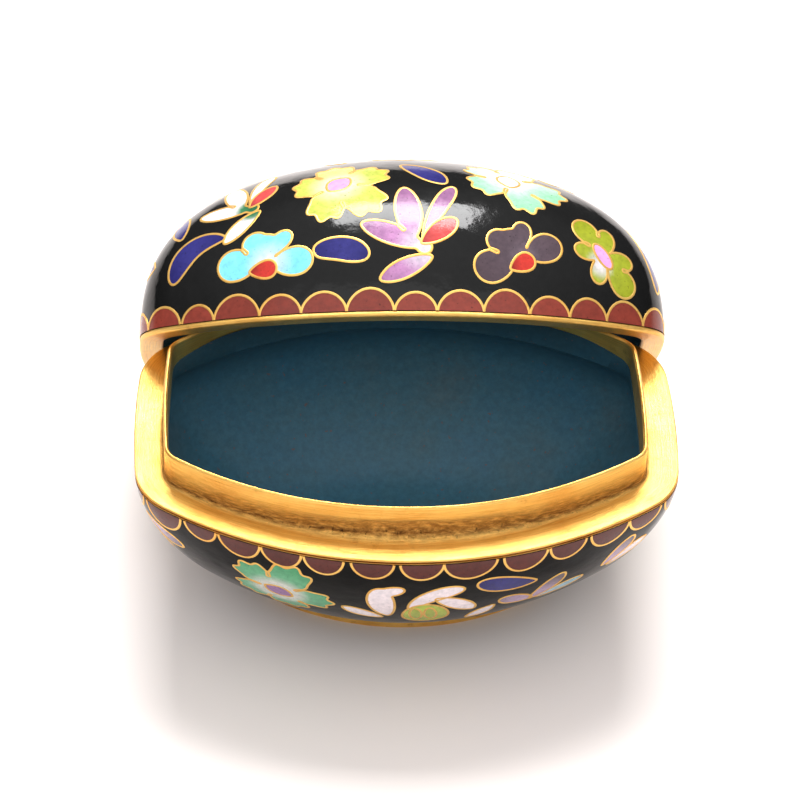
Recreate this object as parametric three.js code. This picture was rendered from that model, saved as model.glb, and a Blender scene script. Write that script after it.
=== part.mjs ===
import * as THREE from 'three';

// A cushion-shaped enamelled box, open, with its loose lid leaning behind the base.
// Millimetres, +Z up, the front of the box towards -Y.

// The plan of the rim: four bowed sides with rounded corners.
const HALF_WIDTH = 45.0;
const HALF_DEPTH = 32.0;
const LONG_SIDE_RADIUS = 69.7;
const SHORT_SIDE_RADIUS = 143.0;
const CORNER_RADIUS = 10.8;

// The walls: copper with enamel on both faces.
const WALL = 1.6;

// The base.
const RIM_TOP = 32.8;
const RIM_THICK = 1.0;
const RIM_BEVEL = 0.25;
const BOWL_DEPTH = 33.0;
const BOWL_SPREAD = 2.5;
const BOWL_FULLNESS = 1.55;
const BOWL_OVAL = 0.55;
const BOWL_BOTTOM = 1.0;
const FLOOR_EASE = 2.0;

// The collar inside the base's rim, measured on its inner face. It was bent with tighter corners than
// the rim, and soldered on slightly forward and to the left of centre.
const COLLAR_HALF_WIDTH = 39.0;
const COLLAR_HALF_DEPTH = 25.4;
const COLLAR_LONG_RADIUS = 66.0;
const COLLAR_SHORT_RADIUS = 160.0;
const COLLAR_CORNER = 3.4;
const COLLAR_HEIGHT = 6.3;
const COLLAR_THICK = 0.75;
const COLLAR_SPREAD = 0.8;
const COLLAR_SIDE = -0.4;
const COLLAR_FORWARD = 0.4;
const COLLAR_JOINT_GAP = 0.1;

// The foot ring.
const FOOT_HALF_WIDTH = 24.0;
const FOOT_HALF_DEPTH = 15.4;
const FOOT_LONG_RADIUS = 40.0;
const FOOT_SHORT_RADIUS = 34.0;
const FOOT_CORNER = 8.0;
const FOOT_THICK = 1.5;
const FOOT_GAP = 0.1;

// The lid, drawn level with its rim at z = 0, then leaned back.
const LID_HEIGHT = 32.6;
const LID_SPREAD = 2.0;
const LID_FULLNESS = 2.53;
const LID_OVAL = 0.95;
const LID_RIM_INNER = 4.0;
const LID_JOINT_GAP = 0.3;
const LID_LEAN_DEG = 53.8;
const LID_BACK = 24.6;

// How finely the curves are drawn.
const LONG_STEPS = 10;
const CORNER_STEPS = 5;
const SHORT_STEPS = 3;
const PROFILE = [1.0, 0.996, 0.982, 0.955, 0.91, 0.84, 0.74, 0.6, 0.42, 0.21];

const ENAMEL = new THREE.MeshStandardMaterial({ color: 0x16151a, roughness: 0.18, metalness: 0.0 });
const GILT = new THREE.MeshStandardMaterial({ color: 0xd8a540, roughness: 0.3, metalness: 1.0 });

// One quarter of a closed outline made of arcs, from the middle of the front to the right.
function quarterOutline(halfWidth, halfDepth, longRadius, shortRadius, cornerRadius) {
  const longCentre = new THREE.Vector2(0, longRadius - halfDepth);
  const shortCentre = new THREE.Vector2(halfWidth - shortRadius, 0);
  const r1 = longRadius - cornerRadius;
  const r2 = shortRadius - cornerRadius;
  const between = shortCentre.clone().sub(longCentre);
  const distance = between.length();
  const along = (r1 * r1 - r2 * r2 + distance * distance) / (2 * distance);
  const across = Math.sqrt(Math.max(r1 * r1 - along * along, 1e-9));
  const u = between.divideScalar(distance);
  const foot = longCentre.clone().addScaledVector(u, along);
  const sides = [1, -1].map((s) => foot.clone().add(new THREE.Vector2(-u.y * across * s, u.x * across * s)));
  const cornerCentre = sides.sort((p, q) => (q.x - q.y) - (p.x - p.y))[0];
  const longEnd = Math.atan2(cornerCentre.y - longCentre.y, cornerCentre.x - longCentre.x);
  const shortEnd = Math.atan2(cornerCentre.y - shortCentre.y, cornerCentre.x - shortCentre.x);
  const points = [];
  const arc = (centre, radius, from, to, steps) => {
    for (let i = 0; i < steps; i += 1) {
      const t = from + ((to - from) * i) / steps;
      points.push(new THREE.Vector2(centre.x + radius * Math.cos(t), centre.y + radius * Math.sin(t)));
    }
  };
  arc(longCentre, longRadius, -Math.PI / 2, longEnd, LONG_STEPS);
  arc(cornerCentre, cornerRadius, longEnd, shortEnd, CORNER_STEPS);
  arc(shortCentre, shortRadius, shortEnd, 0, SHORT_STEPS);
  points.push(new THREE.Vector2(halfWidth, 0));
  return points;
}

// The whole outline, anticlockwise seen from above.
function wholeOutline(quarter) {
  const right = [...quarter];
  for (let i = quarter.length - 2; i >= 0; i -= 1) right.push(new THREE.Vector2(quarter[i].x, -quarter[i].y));
  const left = right.slice(1, -1).reverse().map((p) => new THREE.Vector2(-p.x, p.y));
  return [...right, ...left];
}

// The rim's outline moved inwards by a distance.
function rimOutline(inset) {
  return wholeOutline(quarterOutline(
    HALF_WIDTH - inset,
    HALF_DEPTH - inset,
    LONG_SIDE_RADIUS - inset,
    SHORT_SIDE_RADIUS - inset,
    CORNER_RADIUS - inset,
  ));
}

// The collar's outline moved outwards from its inner face by a distance.
function collarOutline(grow) {
  const outline = wholeOutline(quarterOutline(
    COLLAR_HALF_WIDTH + grow,
    COLLAR_HALF_DEPTH + grow,
    COLLAR_LONG_RADIUS + grow,
    COLLAR_SHORT_RADIUS + grow,
    COLLAR_CORNER + grow,
  ));
  return outline.map((p) => new THREE.Vector2(p.x + COLLAR_SIDE, p.y - COLLAR_FORWARD));
}

// A level of a dome or bowl: the outline scaled by k, growing rounder towards the middle.
function level(inset, k, oval, z) {
  const a = HALF_WIDTH - inset;
  const b = HALF_DEPTH - inset;
  const share = 1 - oval * (1 - k);
  return rimOutline(inset).map((p) => {
    const angle = Math.atan2(p.y, p.x);
    const round = 1 / Math.hypot(Math.cos(angle) / a, Math.sin(angle) / b);
    const r = k * (share * p.length() + (1 - share) * round);
    return new THREE.Vector3(r * Math.cos(angle), r * Math.sin(angle), z);
  });
}

// How high a dome stands at the fraction k of its half-width.
function rise(k, height, spread, fullness) {
  return height * (1 - k ** spread) ** (1 / fullness);
}

// The fraction k at which a dome has a given rise.
function fractionAt(height, depth, spread, fullness) {
  return (1 - (height / depth) ** fullness) ** (1 / spread);
}

function flatRing(outline, z) {
  return outline.map((p) => new THREE.Vector3(p.x, p.y, z));
}

// Joins rings of equal length into one closed body. A tube closes on itself, and a shell gets two end caps.
function bodyFromRings(rings, tube) {
  const n = rings[0].length;
  const positions = [];
  rings.forEach((ring) => ring.forEach((p) => positions.push(p.x, p.y, p.z)));
  const index = [];
  const count = tube ? rings.length : rings.length - 1;
  for (let r = 0; r < count; r += 1) {
    const lower = r * n;
    const upper = ((r + 1) % rings.length) * n;
    for (let i = 0; i < n; i += 1) {
      const j = (i + 1) % n;
      index.push(lower + i, lower + j, upper + j, lower + i, upper + j, upper + i);
    }
  }
  if (!tube) {
    const first = positions.length / 3;
    positions.push(0, 0, rings[0][0].z);
    const last = first + 1;
    positions.push(0, 0, rings[rings.length - 1][0].z);
    const top = (rings.length - 1) * n;
    for (let i = 0; i < n; i += 1) {
      const j = (i + 1) % n;
      index.push(first, j, i);
      index.push(last, top + i, top + j);
    }
  }
  const geometry = new THREE.BufferGeometry();
  geometry.setAttribute('position', new THREE.Float32BufferAttribute(positions, 3));
  geometry.setIndex(index);
  geometry.computeVertexNormals();
  return geometry;
}

function piece(name, geometry, material) {
  const mesh = new THREE.Mesh(geometry, material);
  mesh.name = name;
  return mesh;
}

// The inside of the bowl runs out smoothly into its floor, with no crease.
function bowlInside(k) {
  const fall = rise(k, BOWL_DEPTH - WALL, BOWL_SPREAD, BOWL_FULLNESS);
  const deepest = RIM_TOP - RIM_THICK - BOWL_BOTTOM - WALL;
  const eased = (fall + deepest - Math.hypot(fall - deepest, FLOOR_EASE)) / 2;
  return RIM_TOP - RIM_THICK - Math.max(eased, 0);
}

// The bowl: up the outside from its flat bottom, over the edge and down the inside.
function bowl() {
  const edge = RIM_TOP - RIM_THICK;
  const outerStart = fractionAt(edge - BOWL_BOTTOM, BOWL_DEPTH, BOWL_SPREAD, BOWL_FULLNESS);
  const outerSteps = PROFILE.filter((k) => k > outerStart + 0.04).reverse();
  const rings = [level(0, outerStart, BOWL_OVAL, BOWL_BOTTOM)];
  outerSteps.forEach((k) => {
    rings.push(level(0, k, BOWL_OVAL, edge - rise(k, BOWL_DEPTH, BOWL_SPREAD, BOWL_FULLNESS)));
  });
  PROFILE.forEach((k) => rings.push(level(WALL, k, BOWL_OVAL, bowlInside(k))));
  return bodyFromRings(rings, false);
}

// The base's flange, with a small bevel along its upper outer edge. It is pierced to take the collar.
function baseRim() {
  const outer = (inset, z) => flatRing(rimOutline(inset), z);
  const inner = (z) => flatRing(collarOutline(COLLAR_THICK + COLLAR_JOINT_GAP), z);
  const underside = RIM_TOP - RIM_THICK;
  return bodyFromRings([
    outer(0, underside),
    outer(0, RIM_TOP - RIM_BEVEL),
    outer(RIM_BEVEL, RIM_TOP),
    inner(RIM_TOP),
    inner(underside),
  ], true);
}

// The collar: a strip bent round in the flange's opening, its outside flaring out to a solder fillet.
function baseCollar() {
  const foot = COLLAR_THICK + COLLAR_SPREAD;
  const top = RIM_TOP + COLLAR_HEIGHT;
  const section = [
    [COLLAR_THICK, RIM_TOP - RIM_THICK],
    [COLLAR_THICK, RIM_TOP],
    [foot, RIM_TOP],
    [foot - 0.35 * COLLAR_SPREAD, RIM_TOP + 0.1 * COLLAR_HEIGHT],
    [foot - 0.7 * COLLAR_SPREAD, RIM_TOP + 0.35 * COLLAR_HEIGHT],
    [COLLAR_THICK, top - 0.2],
    [COLLAR_THICK - 0.2, top],
    [0.2, top],
    [0, top - 0.2],
    [0, RIM_TOP - RIM_THICK],
  ];
  return bodyFromRings(section.map(([grow, z]) => flatRing(collarOutline(grow), z)), true);
}

// The outer face of the bowl above a point of the plan.
function bowlUnderside(p) {
  const angle = Math.atan2(p.y, p.x);
  const round = 1 / Math.hypot(Math.cos(angle) / HALF_WIDTH, Math.sin(angle) / HALF_DEPTH);
  const outline = rimOutline(0);
  let square = round;
  for (let i = 0; i < outline.length; i += 1) {
    const q = outline[i];
    const s = outline[(i + 1) % outline.length];
    const d = new THREE.Vector2(Math.cos(angle), Math.sin(angle));
    const e = s.clone().sub(q);
    const det = d.x * -e.y + d.y * e.x;
    if (Math.abs(det) < 1e-12) continue;
    const t = (q.x * -e.y + q.y * e.x) / det;
    const w = (d.x * q.y - d.y * q.x) / det;
    if (t > 0 && w >= 0 && w <= 1) square = t;
  }
  let low = 0;
  let high = 1;
  for (let i = 0; i < 40; i += 1) {
    const k = (low + high) / 2;
    const share = 1 - BOWL_OVAL * (1 - k);
    if (k * (share * square + (1 - share) * round) < p.length()) low = k;
    else high = k;
  }
  const z = RIM_TOP - RIM_THICK - rise(low, BOWL_DEPTH, BOWL_SPREAD, BOWL_FULLNESS);
  return Math.max(z, BOWL_BOTTOM);
}

// The foot ring: a strip on edge whose upper edge follows the underside of the bowl.
function footRing() {
  const foot = (inset) => wholeOutline(quarterOutline(
    FOOT_HALF_WIDTH - inset,
    FOOT_HALF_DEPTH - inset,
    FOOT_LONG_RADIUS - inset,
    FOOT_SHORT_RADIUS - inset,
    FOOT_CORNER - inset,
  ));
  const outer = foot(0);
  const middle = foot(FOOT_THICK / 2);
  const inner = foot(FOOT_THICK);
  const topOf = (p) => new THREE.Vector3(p.x, p.y, bowlUnderside(p) - FOOT_GAP);
  const tops = [outer, middle, inner].map((outline) => outline.map(topOf));
  return bodyFromRings([flatRing(outer, 0), ...tops, flatRing(inner, 0)], true);
}

// The lid's dome, drawn level: up the outside from its edge, and down the inside from the crown.
function lidShell() {
  const edge = RIM_THICK;
  const height = LID_HEIGHT;
  const inner = LID_HEIGHT - WALL;
  const at = (inset, k, h) => level(inset, k, LID_OVAL, edge + Math.max(rise(k, h, LID_SPREAD, LID_FULLNESS), LID_JOINT_GAP));
  const outside = PROFILE.map((k) => at(0, k, height)).reverse();
  const inside = PROFILE.map((k) => at(WALL, k, inner));
  const rings = [...outside, ...inside].reverse();
  const geometry = bodyFromRings(rings, false);
  const position = geometry.getAttribute('position');
  const crown = position.count;
  position.setZ(crown - 2, edge + inner);
  position.setZ(crown - 1, edge + height);
  geometry.computeVertexNormals();
  return geometry;
}

// The lid's flange: its flat face lies on the base's flange when the box is shut.
function lidRim() {
  const section = [
    [RIM_BEVEL, 0],
    [0, RIM_BEVEL],
    [0, RIM_THICK],
    [LID_RIM_INNER, RIM_THICK],
    [LID_RIM_INNER, 0],
  ];
  return bodyFromRings(section.map(([inset, z]) => flatRing(rimOutline(inset), z)), true);
}

const base = new THREE.Group();
base.add(piece('base_bowl', bowl(), ENAMEL));
base.add(piece('base_rim', baseRim(), GILT));
base.add(piece('base_collar', baseCollar(), GILT));
base.add(piece('foot_ring', footRing(), GILT));

// The lid stands on the back edge of its rim, with its front edge up and its mouth towards the base.
const lid = new THREE.Group();
lid.add(piece('lid_shell', lidShell(), ENAMEL));
lid.add(piece('lid_rim', lidRim(), GILT));
const lean = THREE.MathUtils.degToRad(LID_LEAN_DEG);
lid.rotation.x = -lean;
lid.position.set(0, LID_BACK, HALF_DEPTH * Math.sin(lean) - RIM_BEVEL * Math.cos(lean));

// The frame's origin is the middle of the floor area that base and lid cover together.
const group = new THREE.Group();
group.add(base, lid);
group.updateMatrixWorld(true);
const covered = new THREE.Box3().setFromObject(group, true);
const middle = covered.getCenter(new THREE.Vector3());
base.position.y -= middle.y;
lid.position.y -= middle.y;
group.updateMatrixWorld(true);

export default group;
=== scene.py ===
# %% [markdown]
# # A cloisonne enamel box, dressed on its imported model
#
# The box is made of copper sheet. Thin gilt wires are soldered on its outside, and the cells between
# them are filled with coloured glass and polished flush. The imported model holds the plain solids.
# This script gives them their true curves, the wires, the colours and the worn gilt rims.

import math
import random

import bpy
import numpy as np
from mathutils import Matrix, Vector, noise
from mathutils.bvhtree import BVHTree
from mathutils.geometry import delaunay_2d_cdt


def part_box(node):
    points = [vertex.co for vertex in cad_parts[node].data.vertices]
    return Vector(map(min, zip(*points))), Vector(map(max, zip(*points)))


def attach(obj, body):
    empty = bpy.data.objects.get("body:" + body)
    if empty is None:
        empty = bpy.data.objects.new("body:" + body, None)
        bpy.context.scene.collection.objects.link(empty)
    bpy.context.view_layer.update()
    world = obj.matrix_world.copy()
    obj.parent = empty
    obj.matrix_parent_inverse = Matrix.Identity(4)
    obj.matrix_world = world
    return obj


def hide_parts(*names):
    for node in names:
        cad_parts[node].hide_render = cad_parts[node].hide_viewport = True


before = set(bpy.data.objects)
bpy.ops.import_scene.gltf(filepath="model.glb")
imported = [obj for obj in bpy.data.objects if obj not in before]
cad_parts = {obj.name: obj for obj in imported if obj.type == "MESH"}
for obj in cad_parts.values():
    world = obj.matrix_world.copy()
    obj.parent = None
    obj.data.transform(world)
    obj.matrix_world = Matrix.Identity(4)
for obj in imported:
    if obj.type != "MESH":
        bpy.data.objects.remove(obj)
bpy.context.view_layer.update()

# %% [markdown]
# ## Where things stand
#
# All drawing below is in millimetres, in two local spaces. The base's space has its origin on the
# floor under the middle of the rim. The lid's space has its origin in the middle of the lid's flat
# rim face, with +Z through the crown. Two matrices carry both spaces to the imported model's place, so
# the flowers can be laid out as if each half lay flat on a bench.

# %% The two local spaces
MM = 0.001
LID_LEAN = math.radians(53.8)
LID_BACK = 24.6
RIM_BEVEL = 0.25

rim_low, rim_high = (np.array(corner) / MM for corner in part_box("base_rim"))
BASE_Y = float(rim_low[1] + rim_high[1]) / 2
RIM_TOP = float(rim_high[2])
RIM_THICK = float(rim_high[2] - rim_low[2])
HALF_WIDTH = float(rim_high[0] - rim_low[0]) / 2
HALF_DEPTH = float(rim_high[1] - rim_low[1]) / 2

lid_height = HALF_DEPTH * math.sin(LID_LEAN) - RIM_BEVEL * math.cos(LID_LEAN)
BASE_PLACE = Matrix.Translation(Vector((0, BASE_Y, 0)) * MM)
LID_PLACE = Matrix.Translation(Vector((0, BASE_Y + LID_BACK, lid_height)) * MM)
LID_PLACE = LID_PLACE @ Matrix.Rotation(-LID_LEAN, 4, "X")
print("rim half width, half depth, top:", HALF_WIDTH, HALF_DEPTH, RIM_TOP)

# %% [markdown]
# ## The camera
#
# The photo looks down on the open box from about 43 degrees, from a little to the left, through a
# long lens. The camera is made first because everything else is judged through it. It is placed by
# turning a frame of three axes about the base, then stepping back along the view direction.

# %% Camera
VIEW_ELEVATION = math.radians(43.0)
VIEW_TURN = math.radians(-2.7)
VIEW_ROLL = math.radians(-1.77)
VIEW_DISTANCE = 572.0
VIEW_SIDE = -1.08
VIEW_RISE = 27.8
LENS = 148.8


def view_axes(elevation, turn, roll):
    right = Vector((math.cos(turn), math.sin(turn), 0))
    level = Vector((-math.sin(turn), math.cos(turn), 0))
    forward = level * math.cos(elevation) - Vector((0, 0, math.sin(elevation)))
    upward = level * math.sin(elevation) + Vector((0, 0, math.cos(elevation)))
    rolled_right = right * math.cos(roll) - upward * math.sin(roll)
    rolled_up = right * math.sin(roll) + upward * math.cos(roll)
    return right, upward, forward, rolled_right, rolled_up


right, upward, forward, rolled_right, rolled_up = view_axes(VIEW_ELEVATION, VIEW_TURN, VIEW_ROLL)
eye = Vector((0, BASE_Y, 0)) + right * VIEW_SIDE + upward * VIEW_RISE - forward * VIEW_DISTANCE
camera_data = bpy.data.cameras.new("camera")
camera_data.lens = LENS
camera_data.sensor_width = 36
camera_data.clip_end = 10
camera = bpy.data.objects.new("camera", camera_data)
facing = Matrix((rolled_right, rolled_up, -forward)).transposed().to_4x4()
camera.matrix_world = Matrix.Translation(eye * MM) @ facing
bpy.context.scene.collection.objects.link(camera)
bpy.context.scene.camera = camera
print("camera at", tuple(round(c, 3) for c in camera.location))

# %% [markdown]
# ## The plan of the rim
#
# Seen from above the rim is a cushion: four bowed sides that run into rounded corners. Each side and
# corner is an arc of a circle, so a ray from the middle meets the outline where a circle does. That
# gives the radius at any angle exactly, and the same rule moved inwards gives each inner edge.

# %% Rim outline
LONG_SIDE_RADIUS = 69.7
SHORT_SIDE_RADIUS = 143.0
CORNER_RADIUS = 10.8


def corner_centre(half_width, half_depth, long_radius, short_radius, corner_radius):
    """The centre of the arc that touches both side arcs from inside, in the quarter x > 0, y > 0."""
    long_centre = np.array([0.0, half_depth - long_radius])
    short_centre = np.array([half_width - short_radius, 0.0])
    from_long = long_radius - corner_radius
    from_short = short_radius - corner_radius
    between = short_centre - long_centre
    distance = np.hypot(*between)
    along = (from_long ** 2 - from_short ** 2 + distance ** 2) / (2 * distance)
    across = math.sqrt(max(from_long ** 2 - along ** 2, 0))
    unit = between / distance
    middle = long_centre + unit * along
    sides = [middle + s * across * np.array([-unit[1], unit[0]]) for s in (1, -1)]
    return long_centre, short_centre, max(sides, key=lambda c: c[0] + c[1])


def cushion_radius(angle, half_width, half_depth, long_radius, short_radius, corner_radius):
    """How far the outline lies from the middle, at each angle."""
    angle = np.asarray(angle, dtype=float)
    quarter = np.arctan2(np.abs(np.sin(angle)), np.abs(np.cos(angle)))
    ray = np.stack([np.cos(quarter), np.sin(quarter)], -1)
    long_centre, short_centre, corner = corner_centre(
        half_width, half_depth, long_radius, short_radius, corner_radius
    )

    def reach(centre, radius):
        toward = ray @ centre
        return toward + np.sqrt(np.maximum(toward ** 2 - centre @ centre + radius ** 2, 0))

    def end_angle(centre, radius):
        touch = centre + radius * (corner - centre) / np.hypot(*(corner - centre))
        return math.atan2(touch[1], touch[0])

    from_corner = reach(corner, corner_radius)
    from_long = reach(long_centre, long_radius)
    from_short = reach(short_centre, short_radius)
    result = np.where(quarter > end_angle(long_centre, long_radius), from_long, from_corner)
    return np.where(quarter < end_angle(short_centre, short_radius), from_short, result)


def rim_radius(angle, inset=0.0):
    return cushion_radius(
        angle,
        HALF_WIDTH - inset,
        HALF_DEPTH - inset,
        LONG_SIDE_RADIUS - inset,
        SHORT_SIDE_RADIUS - inset,
        CORNER_RADIUS - inset,
    )


# Closely spaced angles from the middle of the front, anticlockwise, and the rim's length up to each.
FINE = np.linspace(-math.pi / 2, 1.5 * math.pi, 14401)
fine_xy = rim_radius(FINE)[:, None] * np.stack([np.cos(FINE), np.sin(FINE)], -1)
FINE_LENGTH = np.concatenate([[0], np.cumsum(np.hypot(*np.diff(fine_xy, axis=0).T))])
RIM_LENGTH = float(FINE_LENGTH[-1])


def angle_at(length):
    """The angle of the point that lies a given length along the rim from the middle of the front."""
    return np.interp(np.mod(length, RIM_LENGTH), FINE_LENGTH, FINE)


print("rim length in mm:", round(RIM_LENGTH, 1))

# %% [markdown]
# ## The curve of bowl and dome
#
# Both halves are pressed from sheet. A level of the dome is the rim's outline shrunk by a fraction k,
# and it grows rounder towards the crown. How high a level stands follows one smooth curve, steep at
# the rim and nearly flat on top. One small class holds this for the outsides and the linings alike.

# %% Dome surface
WALL = 1.6
FLOOR_EASE = 2.0
RUN_STEPS = 4000


class Dome:
    """A pressed half: points by angle and fraction k, from the rim (k = 1) to the crown (k = 0)."""

    def __init__(self, edge, depth, spread, fullness, oval, side, inset=0.0, deepest=None):
        self.edge = edge
        self.depth = depth - inset
        self.deepest = deepest
        self.spread = spread
        self.fullness = fullness
        self.oval = oval
        self.side = side
        self.inset = inset
        grid = np.linspace(0, 1, RUN_STEPS + 1) ** 2
        ks = 1 - grid
        widths = ks * HALF_DEPTH
        heights = self.rise(ks)
        steps = np.hypot(np.diff(widths), np.diff(heights))
        self.run = np.concatenate([[0], np.cumsum(steps)])
        self.run_k = ks

    def rise(self, k):
        full = self.depth * np.maximum(1 - np.asarray(k, float) ** self.spread, 0) ** (1 / self.fullness)
        if self.deepest is None:
            return full
        eased = (full + self.deepest - np.hypot(full - self.deepest, FLOOR_EASE)) / 2
        return np.maximum(eased, 0)

    def fraction(self, height):
        """The k at which the surface stands a height away from the rim's level."""
        return (1 - (height / self.depth) ** self.fullness) ** (1 / self.spread)

    def k_at(self, run):
        """The k of a point that lies a distance up the side from the rim."""
        return np.interp(run, self.run, self.run_k)

    def point(self, angle, k):
        angle = np.asarray(angle, float)
        k = np.asarray(k, float)
        square = rim_radius(angle, self.inset)
        a = HALF_WIDTH - self.inset
        b = HALF_DEPTH - self.inset
        smooth = 1 / np.hypot(np.cos(angle) / a, np.sin(angle) / b)
        share = 1 - self.oval * (1 - k)
        radius = k * (share * square + (1 - share) * smooth)
        z = self.edge + self.side * self.rise(k)
        return np.stack([radius * np.cos(angle), radius * np.sin(angle), z + 0 * radius], -1)


BOWL_BOTTOM = 1.0
BOWL_EDGE = RIM_TOP - RIM_THICK


def bowl_shape(inset=0.0):
    deepest = BOWL_EDGE - BOWL_BOTTOM - inset if inset else None
    return Dome(
        BOWL_EDGE, depth=33.0, spread=2.5, fullness=1.55, oval=0.55, side=-1, inset=inset, deepest=deepest
    )


def lid_shape(inset=0.0):
    return Dome(RIM_THICK, depth=32.6, spread=2.0, fullness=2.53, oval=0.95, side=1, inset=inset)


print("side length of bowl and lid in mm:", round(bowl_shape().run[-1], 1), round(lid_shape().run[-1], 1))

# %% [markdown]
# ## From rings to a mesh
#
# Bowl, dome, rims and collar are all rings of points joined by quads. One helper joins the rings, and
# one makes the Blender object. Each corner also gets a pair of lengths, along the ring and across it,
# so that brush marks and scratches can follow the rim round its corners.

# %% Mesh helpers
COLUMNS = 432
RING_LENGTHS = np.arange(COLUMNS) * RIM_LENGTH / COLUMNS
RING_ANGLES = angle_at(RING_LENGTHS)


def rings_to_mesh(rings, loop=False, first_cap=None, last_cap=None):
    """Vertices, faces and per-corner lengths of a body made of equal rings. Caps are middle points."""
    rings = [np.asarray(r, float) for r in rings]
    n = len(rings[0])
    verts = np.concatenate(rings)
    steps = [float(np.mean(np.linalg.norm(q - p, axis=1))) for p, q in zip(rings, rings[1:] + rings[:1])]
    across = np.concatenate([[0], np.cumsum(steps)])
    faces, lengths = [], []
    pitch = RIM_LENGTH / n
    for r in range(len(rings) if loop else len(rings) - 1):
        low = r * n
        high = ((r + 1) % len(rings)) * n
        for i in range(n):
            j = (i + 1) % n
            faces.append((low + i, low + j, high + j, high + i))
            u0, u1 = i * pitch, (i + 1) * pitch
            lengths += [(u0, across[r]), (u1, across[r]), (u1, across[r + 1]), (u0, across[r + 1])]
    extra = []
    for cap, ring_start, flip in ((first_cap, 0, True), (last_cap, (len(rings) - 1) * n, False)):
        if cap is None:
            continue
        middle = len(verts) + len(extra)
        extra.append(cap)
        for i in range(n):
            j = (i + 1) % n
            pair = (ring_start + j, ring_start + i) if flip else (ring_start + i, ring_start + j)
            faces.append((middle,) + pair)
            lengths += [(0, 0), (i * pitch, 1), ((i + 1) * pitch, 1)]
    if extra:
        verts = np.concatenate([verts, np.array(extra, float)])
    return verts, faces, lengths


def make_piece(name, verts, faces, materials, place, lengths=None, face_slots=None, sharp=40.0):
    mesh = bpy.data.meshes.new(name)
    mesh.from_pydata((np.asarray(verts) * MM).tolist(), [], faces)
    for material in materials:
        mesh.materials.append(material)
    if face_slots is not None:
        mesh.polygons.foreach_set("material_index", face_slots)
    mesh.polygons.foreach_set("use_smooth", [True] * len(mesh.polygons))
    if lengths is not None:
        layer = mesh.attributes.new("along", "FLOAT2", "CORNER")
        layer.data.foreach_set("vector", np.asarray(lengths, float).ravel())
    mesh.transform(place)
    mesh.update()
    mesh.set_sharp_from_angle(angle=math.radians(sharp))
    piece = bpy.data.objects.new(name, mesh)
    bpy.context.scene.collection.objects.link(piece)
    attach(piece, "root")
    print(name, len(mesh.vertices), "points", len(mesh.polygons), "faces")
    return piece


# %% [markdown]
# ## Finishes
#
# Enamel is glass: dark, smooth and glossy, with a faint orange-peel surface. The rims are gilt brass:
# a warm metal, brushed along the rim, with spots of brown tarnish. Each finish is a small node tree on
# one Principled shader. Helpers keep the node code short.

# %% Node helpers
def tone(red, green, blue):
    """A colour named by its everyday 0 to 255 numbers, as the linear values a shader wants."""
    return tuple(((c / 255 + 0.055) / 1.055) ** 2.4 for c in (red, green, blue))


def grey(value):
    return (value, value, value)


def new_finish(name):
    material = bpy.data.materials.new(name)
    material.use_nodes = True
    tree = material.node_tree
    return material, tree, tree.nodes["Principled BSDF"]


def add(tree, kind, **settings):
    node = tree.nodes.new(kind)
    for key, value in settings.items():
        if key in node.inputs:
            node.inputs[key].default_value = value
        else:
            setattr(node, key, value)
    return node


def object_point(tree):
    """The point on the model, in metres."""
    return add(tree, "ShaderNodeTexCoord").outputs["Object"]


def along_point(tree, scale):
    """The corner lengths along and across the rim, in millimetres, stretched by a scale."""
    lengths = add(tree, "ShaderNodeAttribute", attribute_name="along")
    mapping = add(tree, "ShaderNodeMapping")
    mapping.inputs["Scale"].default_value = scale
    tree.links.new(lengths.outputs["Vector"], mapping.inputs["Vector"])
    return mapping.outputs["Vector"]


def noise_of(tree, vector, scale, detail=3.0, roughness=0.5):
    node = add(tree, "ShaderNodeTexNoise", Scale=scale, Detail=detail, Roughness=roughness)
    tree.links.new(vector, node.inputs["Vector"])
    return node.outputs["Fac"]


def ramp(tree, factor, stops):
    node = add(tree, "ShaderNodeValToRGB")
    band = node.color_ramp
    while len(band.elements) < len(stops):
        band.elements.new(0.5)
    for element, (position, colour) in zip(band.elements, stops):
        element.position = position
        element.color = (*colour, 1)
    tree.links.new(factor, node.inputs["Fac"])
    return node.outputs["Color"]


def bump(tree, height, strength, distance, normal=None):
    node = add(tree, "ShaderNodeBump", Strength=strength, Distance=distance)
    tree.links.new(height, node.inputs["Height"])
    if normal is not None:
        tree.links.new(normal, node.inputs["Normal"])
    return node.outputs["Normal"]


def mix(tree, factor, a, b, blend="MIX"):
    node = add(tree, "ShaderNodeMix", data_type="RGBA", blend_type=blend)
    for socket, value in ((node.inputs[0], factor), (node.inputs[6], a), (node.inputs[7], b)):
        if hasattr(value, "links"):
            tree.links.new(value, socket)
        else:
            socket.default_value = value if isinstance(value, (int, float)) else (*value, 1)
    return node.outputs[2]


# %% [markdown]
# ### Glass
#
# The black glass has hardly any colour of its own, so what shows of it is what it reflects. Two layers
# of noise bend its normals: slow waves, and a fine orange peel. A low index of refraction keeps the
# reflections faint, as they are on the box, and the base has still less shine than the lid.

# %% Black enamel
GLASS_IOR = 1.36
BASE_GLASS_IOR = 1.18


def black_enamel(name, ior):
    material, tree, shader = new_finish(name)
    point = object_point(tree)
    cloud = noise_of(tree, point, 900, 4, 0.6)
    colour = ramp(tree, cloud, [(0.3, grey(0.001)), (0.75, grey(0.003))])
    tree.links.new(colour, shader.inputs["Base Color"])
    haze = noise_of(tree, point, 160, 3, 0.6)
    tree.links.new(ramp(tree, haze, [(0.35, grey(0.07)), (0.7, grey(0.16))]), shader.inputs["Roughness"])
    waves = noise_of(tree, point, 110, 2, 0.5)
    peel = noise_of(tree, point, 420, 3, 0.6)
    normal = bump(tree, peel, 0.18, 0.0003, bump(tree, waves, 0.22, 0.0012))
    tree.links.new(normal, shader.inputs["Normal"])
    shader.inputs["IOR"].default_value = ior
    return material


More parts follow.
